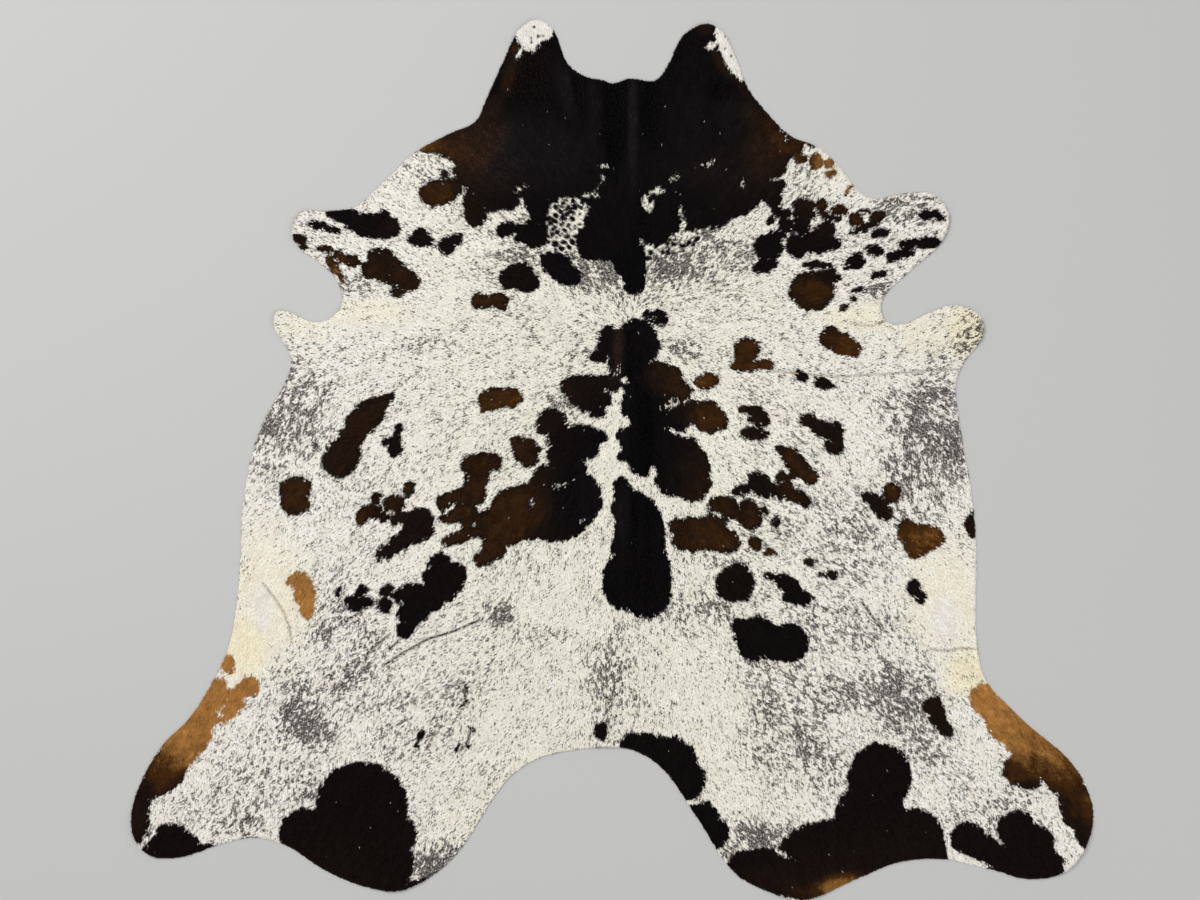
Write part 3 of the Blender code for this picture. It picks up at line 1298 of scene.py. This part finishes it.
# %% Height maps
TUFT_HEIGHT = 0.25 * MM
LUMP_HEIGHT = 0.35 * MM
CREASE_DEPTH = 1.1 * MM
CREASE_HALF = 5 * MM

LUMPS = TUFT_HEIGHT * TUFT_GRAIN + LUMP_HEIGHT * CLOUD_GRAIN
LUMPS = LUMPS - CREASE_DEPTH * bell(crease_gap, CREASE_HALF)
COAT_TOP = BASE + SHEET + LUMPS * step(GAP, 2 * MM, 16 * MM)
print("coat stands up to", round(float(COAT_TOP.max()) / MM, 1), "mm above the floor")

# %% [markdown]
# ## Colours
#
# The colours are those of the photograph in even light, written as the usual 0 to 255 values and
# turned into linear light once. A tone between two of the dark colours is mixed from them.

# %% Palette
def linear(*rgb):
    """Linear light of an 8-bit colour, whose share is c: ((c + 0.055) / 1.055)^2.4 above black."""
    c = np.array(rgb) / 255
    return np.where(c < 0.04045, c / 12.92, ((c + 0.055) / 1.055) ** 2.4)


BACK_CREAM = linear(249, 244, 229)
SIDE_WHITE = linear(255, 247, 238)
WARM_CREAM = linear(255, 243, 212)
BARE_GREY = linear(246, 240, 238)
FLECK = linear(56, 54, 58)
# also the colour that scratches take, and the painted shade of creases
DARK_FLECK_AND_CREASE_SHADE = linear(22, 21, 25)
TONE_MARKS = (-1, 0, 1, 2, 3)  # bluish black, black, dark brown, brown and tan
TONES = np.array(
    [linear(*rgb) for rgb in ((3, 3, 4), (11, 8, 8), (29, 17, 10), (66, 40, 12), (166, 116, 60))]
)
SUEDE = linear(196, 178, 148)


def dark_colour(tones):
    """Colour of a dark hair by its tone, mixed between the two nearest of the five."""
    return np.stack([np.interp(tones, TONE_MARKS, TONES[:, i]) for i in range(3)], -1)


def mix(first, second, share):
    """Straight mix of two colours or arrays of colours."""
    return first + (second - first) * share[..., None]


SHARES = (0.0, 0.02, 0.05, 0.1, 0.2, 0.3, 0.4, 0.5, 0.6, 0.7, 0.8)  # share of dark hairs
LIMITS = (3.5, 2.05, 1.64, 1.28, 0.84, 0.52, 0.25, 0.0, -0.25, -0.52, -0.84)  # passed by it
BACK, SIDE = 0.15, 0.65  # from this far off the spine the ground turns from cream to white
LOOSE, DENSE = (0.12, 0.5), (0.45, 0.95)  # a roan share, and how much its flecks keep together
FLECK_STEP = 0.14  # a hair this far past the limit is a full fleck
FLECK_LEAST = 0.85  # and covers at least this share of the ground
FLECK_DARKER = 0.2, 0.7  # roan shares between which the flecks get darker
LINE_HALF = 3 * MM  # half width of a scratch or crease
# how dark a scratch gets, and how strong a crease's painted shade is
SCRATCH_DARK, CREASE_PAINTED_SHADE = 1.5, 0.7
PALE_NOISE = 0.05, 0.06  # how much pale hair's brightness changes by the strand, and by the lock
DARK_NOISE = 0.15, 0.13  # the same for dark hair
TONE_NOISE = 0.14
COMBED_EDGE, LOOSE_EDGE = 1.8 * MM, 2.3 * MM  # how far an outline strays by the tuft, by the lock
STRAY = 3.2  # a hair this far from the mean stays pale inside a marking: 1 in 1400
STRAY_SHADE = 0.4  # and shows this much through the dark hair over it


def hair_colour(x, y, rng):
    """Colours of locks' points: x and y are locks x points, and a lock draws its chances once.

    Pale ground, mixed towards a fleck's grey where streaky noise plus the lock's chance passes the
    limit of its roan share, towards black on a scratch and as painted shade in a crease, and
    towards the marking's tone, with painted sheen and shade on dark hair, inside an edge.
    The denser the roan, the more its flecks keep together and the less they are strewn.
    """
    draw = rng.standard_normal((6, len(x), 1))
    ground = mix(BACK_CREAM, SIDE_WHITE, step(np.abs(x), BACK, SIDE))
    ground = mix(mix(ground, WARM_CREAM, read(warm, x, y)), BARE_GREY, read(bare, x, y))
    share = read(roan, x, y).mean(1, keepdims=True)
    grouped = np.interp(share, *zip(LOOSE, DENSE))
    grain_here = read(FLECK_GRAIN, x, y).mean(1, keepdims=True)
    chance = grouped * grain_here + np.sqrt(1 - grouped**2) * draw[0]
    limit = np.interp(share, SHARES, LIMITS)
    fleck = step(chance, limit - FLECK_STEP, limit + FLECK_STEP)
    fleck = fleck * rng.uniform(FLECK_LEAST, 1, draw[0].shape)
    colour = mix(ground, mix(FLECK, DARK_FLECK_AND_CREASE_SHADE, step(share, *FLECK_DARKER)), fleck)
    scratched = np.minimum(SCRATCH_DARK * bell(read(scratch_gap, x, y), LINE_HALF), 1)
    # painted shade along a crease, mixed towards the same dark colour as a scratch
    painted_crease_shade = CREASE_PAINTED_SHADE * bell(read(crease_gap, x, y), LINE_HALF)
    colour = mix(colour, DARK_FLECK_AND_CREASE_SHADE, np.maximum(scratched, painted_crease_shade))
    strand = read(STRAND_GRAIN, x, y)
    colour = colour * (1 + PALE_NOISE[0] * strand + PALE_NOISE[1] * draw[1])[..., None]
    jitter = COMBED_EDGE * read(EDGE_GRAIN, x, y) + LOOSE_EDGE * draw[2]
    dark = step(read(edge, x, y) + jitter * read(FUZZ, x, y), 1.0 * MM, -1.0 * MM)
    # painted sheen and shade of the dark hair, with its own change by the strand and by the lock
    shade = read(painted_sheen_and_shade, x, y) * np.exp(DARK_NOISE[0] * strand + DARK_NOISE[1] * draw[3])
    marking = dark_colour(read(tone, x, y) + TONE_NOISE * draw[4]) * shade[..., None]
    marking = np.where((draw[5] > STRAY)[..., None], STRAY_SHADE * colour, marking)
    return mix(colour, marking, dark)


# %% [markdown]
# ## Sheets
#
# Skin and coat are both thin closed sheets with the hide's outline, so one function makes both.
# The edge is a profile carried round the rim: each of its rows is the rim moved inward by an inset
# and raised by a height. The faces above and below are filled with evenly spaced points and
# Blender's own Delaunay triangulation, which keeps to the rim however it curves.

# %% Triangulated sheets
INSIDE_ONLY = 1  # the triangulation's choice that keeps only what lies within the outline
CLEAR = 0.6  # inner points keep this share of their spacing clear of the ring round them
CLOSE = 1e-8
HEX = math.sqrt(3) / 2  # row distance of a triangular lattice


def lattice(spacing, shift=(0.0, 0.0)):
    """Points of a triangular lattice over the map: every second row is moved by half a step."""
    columns = np.arange(low[0] - MARGIN, high[0] + MARGIN, spacing)
    rows = np.arange(low[1] - MARGIN, high[1] + MARGIN, spacing * HEX)
    x, y = np.meshgrid(columns + shift[0] * spacing, rows + shift[1] * spacing)
    x[1::2] += spacing / 2
    return x.ravel(), y.ravel()


def fill(outline, spacing, inset):
    """Points and triangles inside a closed outline, its own points first."""
    x, y = lattice(spacing)
    inner = read(GAP, x, y) > inset + CLEAR * spacing
    points = np.concatenate([outline, np.stack([x, y], 1)[inner]])
    count = len(outline)
    ring = [(i, (i + 1) % count) for i in range(count)]
    made = delaunay_2d_cdt([Vector(p) for p in points.tolist()], ring, [], INSIDE_ONLY, CLOSE)
    laid = np.array([tuple(p) for p in made[0]])
    if laid.shape != points.shape or abs(laid - points).max() > SAME:
        raise ValueError("the triangulation moved its points")
    return laid, np.array(made[2])


def band(first, second, count):
    """Two triangles for each step of the rim between two rings of `count` points."""
    i = np.arange(count)
    k = (i + 1) % count
    lower = np.stack([first + i, first + k, second + k], 1)
    upper = np.stack([first + i, second + k, second + i], 1)
    return np.concatenate([lower, upper])


def sheet_mesh(profile, under, over):
    """Closed sheet: face below, bands up the edge's profile, face above.

    profile holds rows (inset, height above the folds); under and over are (spacing, height map).
    Returns the points, the triangles, and how many triangles the face below has.
    """
    count = len(rim)
    rings = []
    for inset, height in profile:
        ring = rim - rim_out * inset
        rings.append(np.column_stack([ring, read(BASE, *ring.T) + height]))
    last = (len(rings) - 1) * count
    points, faces = list(rings), []
    for (spacing, surface), start in ((under, 0), (over, last)):
        inset = profile[start // count][0]
        filled, triangles = fill(rings[start // count][:, :2], spacing, inset)
        inner = sum(len(part) for part in points) - count
        faces.append(np.where(triangles < count, triangles + start, triangles + inner))
        points.append(np.column_stack([filled[count:], surface(*filled[count:].T)]))
    bands = [band(k * count, (k + 1) * count, count) for k in range(len(rings) - 1)]
    below, above = faces
    return np.concatenate(points), np.concatenate([below[:, ::-1], *bands, above]), len(below)


# %% Mesh and map helpers
def make_piece(name, points, faces):
    """Object of a triangle mesh at the origin, shaded smooth."""
    mesh = bpy.data.meshes.new(name)
    mesh.vertices.add(len(points))
    mesh.vertices.foreach_set("co", points.astype(np.float32).ravel())
    mesh.loops.add(faces.size)
    mesh.loops.foreach_set("vertex_index", faces.astype(np.int32).ravel())
    mesh.polygons.add(len(faces))
    mesh.polygons.foreach_set("loop_start", np.arange(0, faces.size, 3, dtype=np.int32))
    mesh.update(calc_edges=True)
    mesh.shade_smooth()
    piece = show(bpy.data.objects.new(name, mesh))
    print(name + ":", len(points), "points,", len(faces), "triangles")
    return piece


def give_map(piece, corners):
    """UV map of the piece from one pair for each face corner."""
    layer = piece.data.uv_layers.new(name="OFBake")
    layer.uv.foreach_set("vector", corners.astype(np.float32).ravel())


def give_value(piece, name, values):
    """Number for each point, for a material to read."""
    attribute = piece.data.attributes.new(name, "FLOAT", "POINT")
    attribute.data.foreach_set("value", values.astype(np.float32))


HIDDEN, CORNER = 0.1, (0.02, 0.8)  # size and place on a map of a face that is hardly seen


def plan_map(points, faces, plain):
    """UV of a sheet: its plan, with the first `plain` faces as a small copy in a free corner."""
    span = max(high[0] - low[0], high[1] - low[1]) + 2 * MM
    uv = ((points[:, :2] - low[:2]) / span)[faces]
    uv[:plain] = uv[:plain] * HIDDEN + CORNER
    return np.clip(uv, 0, 1)


# %% [markdown]
# ## The skin
#
# The flesh side of a tanned hide is buff suede with a short nap, and the cut rim shows its edge.
# It is its own piece, because a maker would call it the sheet itself: its underside carries the
# rug, and its size is the size to which the hide was cut.

# %% Materials from nodes
def new_material(name, roughness, specular):
    """Principled material with its even numbers on the shader's own sockets."""
    material = bpy.data.materials.new(name)
    material.use_nodes = True
    shader = material.node_tree.nodes["Principled BSDF"]
    shader.inputs["Roughness"].default_value = roughness
    shader.inputs["Specular IOR Level"].default_value = specular
    return material, material.node_tree, shader


def node(tree, kind, *inputs, **values):
    """Node with its settings and inputs: an input is a number, or an output to link to it."""
    made = tree.nodes.new(kind)
    given = list(enumerate(inputs))
    for name, value in values.items():
        if name.replace("_", " ") in made.inputs:
            given.append((name.replace("_", " "), value))
        else:
            setattr(made, name, value)
    for key, value in given:
        if isinstance(value, bpy.types.NodeSocket):
            tree.links.new(value, made.inputs[key])
        else:
            made.inputs[key].default_value = value
    return made


def noise(tree, scale, detail):
    """Noise on Object coordinates, as many lumps in a metre as `scale`."""
    place = node(tree, "ShaderNodeTexCoord").outputs["Object"]
    return node(tree, "ShaderNodeTexNoise", place, Scale=scale, Detail=detail).outputs["Fac"]


def ramp(tree, factor, stops):
    """Colour by a number, through stops of (number, colour)."""
    made = node(tree, "ShaderNodeValToRGB", factor)
    for element, (position, colour) in zip(made.color_ramp.elements, (stops[0], stops[-1])):
        element.position, element.color = position, (*colour, 1)
    for position, colour in stops[1:-1]:
        made.color_ramp.elements.new(position).color = (*colour, 1)
    return made.outputs["Color"]


def dress(tree, shader, colour, height, strength, depth):
    """Give the shader its colour, and a bump of that strength and depth from a height."""
    bump = node(tree, "ShaderNodeBump", Strength=strength, Distance=depth, Height=height)
    tree.links.new(colour, shader.inputs["Base Color"])
    tree.links.new(bump.outputs["Normal"], shader.inputs["Normal"])


def suede_material():
    """Buff suede: nap in two sizes of noise, lighter where it is brushed up."""
    material, tree, shader = new_material("buff_suede", 0.92, 0.2)
    broad, nap = noise(tree, 22.0, 4.0), noise(tree, 900.0, 3.0)
    both = node(tree, "ShaderNodeMix", Factor=0.45, A=broad, B=nap).outputs["Result"]
    colour = ramp(tree, both, ((0.3, SUEDE * 0.72), (0.72, SUEDE * 1.12)))
    dress(tree, shader, colour, nap, 0.35, 0.6 * MM)
    return material


# %% Make the skin
SKIN_INSET = 0.6 * MM  # the coat hangs this far over the cut
SKIN_SPACING = 24 * MM
SKIN_TOP = SKIN - 0.1 * MM


def above_folds(height):
    """Height map reader: the folds raised by a constant height."""
    return lambda x, y: read(BASE, x, y) + height


skin_profile = (
    (SKIN_INSET + 0.5 * MM, 0.0),
    (SKIN_INSET, 0.4 * MM),
    (SKIN_INSET, SKIN - 0.5 * MM),
    (SKIN_INSET + 0.4 * MM, SKIN_TOP),
)
skin_points, skin_faces, skin_under = sheet_mesh(
    skin_profile, (SKIN_SPACING, above_folds(0.0)), (SKIN_SPACING, above_folds(SKIN_TOP))
)
skin = make_piece("skin", skin_points, skin_faces)
skin_uv = plan_map(skin_points, skin_faces, 0)
skin_uv[skin_under + (len(skin_profile) - 1) * 2 * len(rim) :] *= HIDDEN
give_map(skin, skin_uv)
skin.data.materials.append(suede_material())

# %% [markdown]
# ## The coat
#
# Under the loose locks the coat is a closed mat of hair. It is a fine sheet whose material reads
# four numbers that are stored at its points: the distance to the markings' edges, their tone, the
# share of roan flecks and the warmth. Noise in the material then breaks the distances up into hair.

# %% Coat material
MAT_SHADE = 0.76  # the mat lies in the shade of the locks over it
MAT_TONES = list(zip(np.linspace(0, 1, len(TONES)), TONES))
EDGE_NOISE, EDGE_OUT, EDGE_IN = 5.0, 3.1, 1.9  # mm: noise adds up to the first to the distance
ROAN_GAIN, ROAN_LIMIT = 0.3, -0.65  # the noise that makes a fleck is less where the coat is roan
FLECK_FADE, FLECK_MOST = 0.1, 0.8


def coat_material():
    """Mat of hair: cream with grey flecks, dark inside the markings' broken edges."""
    material, tree, shader = new_material("hair_mat", 0.6, 0.05)
    hairs, flecks = noise(tree, 330.0, 2.0), noise(tree, 300.0, 2.0)
    edge_mm, tones, share, warmth = (
        node(tree, "ShaderNodeAttribute", attribute_name=name).outputs["Fac"]
        for name in ("edge_mm", "tone", "roan", "warm")
    )

    def sums(operation, *numbers):
        return node(tree, "ShaderNodeMath", *numbers, operation=operation).outputs[0]

    def share_of(value, none, full, most=1.0):
        ends = dict(From_Min=none, From_Max=full, To_Max=most)
        return node(tree, "ShaderNodeMapRange", value, **ends).outputs["Result"]

    def mixed(factor, first, second):
        inputs = dict(data_type="RGBA", Factor=factor, A=first, B=second)
        return node(tree, "ShaderNodeMix", **inputs).outputs["Result"]

    dark = share_of(sums("MULTIPLY_ADD", hairs, EDGE_NOISE, edge_mm), EDGE_OUT, EDGE_IN)
    past_limit = sums("ADD", flecks, sums("MULTIPLY_ADD", share, ROAN_GAIN, ROAN_LIMIT))
    strewn = share_of(past_limit, 0.0, FLECK_FADE, FLECK_MOST)
    marking = ramp(tree, share_of(tones, TONE_MARKS[0], TONE_MARKS[-1]), MAT_TONES)
    cream, warm_cream = ((*(colour * MAT_SHADE), 1) for colour in (BACK_CREAM, WARM_CREAM))
    ground = mixed(strewn, mixed(warmth, cream, warm_cream), (*FLECK, 1))
    dress(tree, shader, mixed(dark, ground, marking), hairs, 0.3, 0.5 * MM)
    return material


# %% Make the coat
COAT_SPACING = 7.2 * MM
COAT_UNDER_SPACING = 30 * MM

coat_profile = (
    (2.4 * MM, SKIN),
    (0.3 * MM, SKIN - 0.2 * MM),
    (0.0, SKIN + 0.3 * MM),
    (0.4 * MM, SHEET - 0.6 * MM),
    (1.4 * MM, SHEET - 0.2 * MM),
    (3.4 * MM, SHEET),
)
coat_points, coat_faces, coat_under = sheet_mesh(
    coat_profile,
    (COAT_UNDER_SPACING, above_folds(SKIN)),
    (COAT_SPACING, lambda x, y: read(COAT_TOP, x, y)),
)
coat = make_piece("coat", coat_points, coat_faces)
give_map(coat, plan_map(coat_points, coat_faces, coat_under))
for name, field in (("edge_mm", edge / MM), ("tone", tone), ("roan", roan), ("warm", warm)):
    give_value(coat, name, read(field, *coat_points[:, :2].T))
coat.data.materials.append(coat_material())

# %% [markdown]
# ## The locks
#
# Hair lies in small flat locks, a few dozen hairs that hold together. Particles would be the usual
# way to grow hair, but they are strands and not a mesh. Here each lock is a kite of two triangles
# with a raised middle, worked out for all locks at once: a root, two sides a third of the way
# along, and a tip that lifts off the coat. Four layers lie over each other like thatch.

# %% Lock shapes
LOCKS_IN_LAYER = 98500
LOCK_LENGTH = 7.4 * MM
LOCK_WIDTH = 2.5 * MM
OVERHANG = 2.5 * MM  # how far a tip may reach past the rim
LAYERS = 4
LOCK_SEED = 100
LAYER_SHIFT = np.array([0.37, 0.61])  # each layer's lattice moves on by these shares of a step
LENGTHS, WIDTHS = (0.75, 1.2), (0.75, 1.25)  # least and most, against the usual
ROOT_INSET = 0.4 * MM  # roots stay this far inside the rim
TUFT_TURN, LOCK_TURN = 0.16, 0.24  # radians that a lock strays with its tuft, and by itself
LOCK_SHOWN = 0.55  # share of its length at which a lock is seen most
LOCK_BLEND = 0.6  # how much a lock's colour changes along it, against the ground's
CROWN = 0.36  # share of its length at which a lock is widest
KITE = np.array([[0, 0], [CROWN, -0.5], [1, 0], [CROWN, 0.5]])  # root, right side, tip, left side
KITE_LIFT = (-0.3, 0.05), (-0.2, 0.05), (0.5, 1.3), (-0.2, 0.05)  # least and most, in mm
# painted shade along a lock, for root, sides and tip: darker at the root, lighter at the lifted tip
KITE_SHADE = np.array([0.86, 0.98, 1.04, 0.98])
KITE_MAP = np.array([[0.5, 0.02], [0.98, 0.5], [0.5, 0.98], [0.02, 0.5]])
DARKEST, PALEST = 0.0008, 0.97  # hair's least and most light


def lock_layer(number):
    """Places, unit headings and sizes of one layer's locks, from its own seed."""
    rng = np.random.default_rng(LOCK_SEED + number)
    spacing = math.sqrt(AREA / (HEX * LOCKS_IN_LAYER))
    x, y = lattice(spacing, number * LAYER_SHIFT % 1)
    x = x + spacing * rng.uniform(-0.5, 0.5, x.shape)
    y = y + spacing * rng.uniform(-0.5, 0.5, y.shape)
    inner = read(GAP, x, y) > ROOT_INSET
    x, y = x[inner], y[inner]
    heading = np.arctan2(read(FLOW_Y, x, y), read(FLOW_X, x, y))
    heading = heading + TUFT_TURN * read(TUFT_GRAIN, x, y)
    heading = heading + LOCK_TURN * rng.standard_normal(x.shape)
    heading = np.where(read(scratch_gap, x, y) < SCRATCH_HALF, read(scratch_turn, x, y), heading)
    ux, uy = np.cos(heading), np.sin(heading)
    length = LOCK_LENGTH * rng.uniform(*LENGTHS, x.shape)
    width = LOCK_WIDTH * rng.uniform(*WIDTHS, x.shape)
    over = -read(GAP, x + length * ux, y + length * uy) - OVERHANG
    back = np.clip(over, 0, None)
    return x - back * ux, y - back * uy, ux, uy, length, width, rng


def lock_surface(x, y):
    """Height of the coat, drooping past the rim."""
    return read(COAT_TOP, x, y) + np.clip(read(GAP, x, y) - 2 * MM, -5 * MM, 0) * 0.5


def lock_points(x, y, ux, uy, length, width, rng):
    """Root, right side, tip and left side of each lock, as an array of locks x 4 x 3."""
    along, aside = KITE.T
    px = x[:, None] + along * (length * ux)[:, None] - aside * (width * uy)[:, None]
    py = y[:, None] + along * (length * uy)[:, None] + aside * (width * ux)[:, None]
    lift = np.stack([rng.uniform(*ends, x.shape) for ends in KITE_LIFT], 1)
    return np.stack([px, py, lock_surface(px, py) + lift * MM], -1)


def lock_map(brightness):
    """UV of each lock's four points: a square cell of its own, in the order of brightness."""
    side = math.ceil(math.sqrt(len(brightness)))
    rank = np.empty(len(brightness), int)
    rank[np.argsort(brightness)] = np.arange(len(brightness))
    cell = np.stack([rank % side, rank // side], 1)[:, None]
    return ((cell + KITE_MAP) / side).reshape(-1, 2)


# %% Lock material
def lock_material():
    """Glossy short hair: the colour is stored at the lock's points."""
    material, tree, shader = new_material("hair_locks", 0.42, 0.02)
    colour = node(tree, "ShaderNodeAttribute", attribute_name="hair")
    tree.links.new(colour.outputs["Color"], shader.inputs["Base Color"])
    return material


# %% Lay the four layers
hair = lock_material()
locks = []
for number in range(LAYERS):
    x, y, ux, uy, length, width, rng = lock_layer(number)
    points = lock_points(x, y, ux, uy, length, width, rng)
    first = 4 * np.arange(len(x))[:, None]
    faces = np.concatenate([first + [0, 1, 2], first + [0, 2, 3]])
    piece = make_piece(f"locks_{number + 1}", points.reshape(-1, 3), faces)
    seen_x = (x + LOCK_SHOWN * length * ux)[:, None]
    seen_y = (y + LOCK_SHOWN * length * uy)[:, None]
    seen_x = seen_x + LOCK_BLEND * (points[..., 0] - seen_x)
    seen_y = seen_y + LOCK_BLEND * (points[..., 1] - seen_y)
    colour = hair_colour(seen_x, seen_y, rng) * KITE_SHADE[:, None]
    colour = np.clip(colour, DARKEST, PALEST)
    corner = np.concatenate([colour, np.ones((*colour.shape[:2], 1))], -1)
    attribute = piece.data.attributes.new("hair", "FLOAT_COLOR", "POINT")
    attribute.data.foreach_set("color", corner.astype(np.float32).ravel())
    give_map(piece, lock_map(colour[:, 2].sum(-1))[faces])
    piece.data.materials.append(hair)
    locks.append(piece)

# %% [markdown]
# ## Bodies
#
# The rug is one body. The skin stands for the imported hide, with the coat and its locks as the
# pieces that go with it.

# %% Tie the pieces to the model
for piece in (skin, coat, *locks):
    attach(piece, "root")
for piece in (skin, coat):
    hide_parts("hide")

# %% [markdown]
# ## Floor, light and camera
#
# The photograph looks straight down in soft, even light. A pale plain floor, a bright even sky, a
# broad lamp from the upper left and a weaker one across from it give the same calm look and just
# enough shade in the folds. The camera hangs over the photograph's middle pixel, high enough for
# 1200 of its pixels.

# %% Floor
FLOOR_HALF = 40.0
FLOOR_GREY = (0.56, 0.56, 0.55, 1)


def make_floor():
    """Plain pale floor, a square of one face far larger than the view."""
    mesh = bpy.data.meshes.new("floor")
    signs = ((-1, -1), (1, -1), (1, 1), (-1, 1))
    mesh.from_pydata([(a * FLOOR_HALF, b * FLOOR_HALF, 0) for a, b in signs], [], [(0, 1, 2, 3)])
    floor = show(bpy.data.objects.new("floor", mesh))
    material, _, shader = new_material("pale_floor", 0.9, 0.1)
    shader.inputs["Base Color"].default_value = FLOOR_GREY
    mesh.materials.append(material)


make_floor()


# %% Light
SKY_LIGHT = 0.545
LAMP_SIDE = 3.0
LAMPS = {  # place in metres, and power in watts
    "key_lamp": ((-3.4, 3.2, 5.2), 234),
    "fill_lamp": ((3.6, -2.4, 4.6), 68),
}


def add_lamp(name, place, power):
    """Square area lamp aimed at the middle of the rug."""
    data = bpy.data.lights.new(name, "AREA")
    data.shape = "SQUARE"
    data.size = LAMP_SIDE
    data.energy = power
    lamp = show(bpy.data.objects.new(name, data))
    lamp.location = place
    lamp.rotation_euler = (-Vector(place)).to_track_quat("-Z", "Y").to_euler()


world = bpy.data.worlds.new("studio")
world.use_nodes = True
sky = world.node_tree.nodes["Background"].inputs
sky["Color"].default_value = (1, 1, 1, 1)
sky["Strength"].default_value = SKY_LIGHT
bpy.context.scene.world = world
bpy.context.scene.view_settings.view_transform = "Standard"
for name, (place, power) in LAMPS.items():
    add_lamp(name, place, power)

# %% Camera
LENS = 50.0
SENSOR = 36.0
PHOTO_WIDTH = 1200 * PIXEL

camera_data = bpy.data.cameras.new("camera")
camera_data.lens = LENS
camera_data.sensor_width = SENSOR
camera = show(bpy.data.objects.new("camera", camera_data))
camera.location = (*metres(PHOTO_X, PHOTO_Y), PHOTO_WIDTH * LENS / SENSOR + SHEET)
bpy.context.scene.camera = camera
print("camera height:", round(camera.location.z, 3), "m")
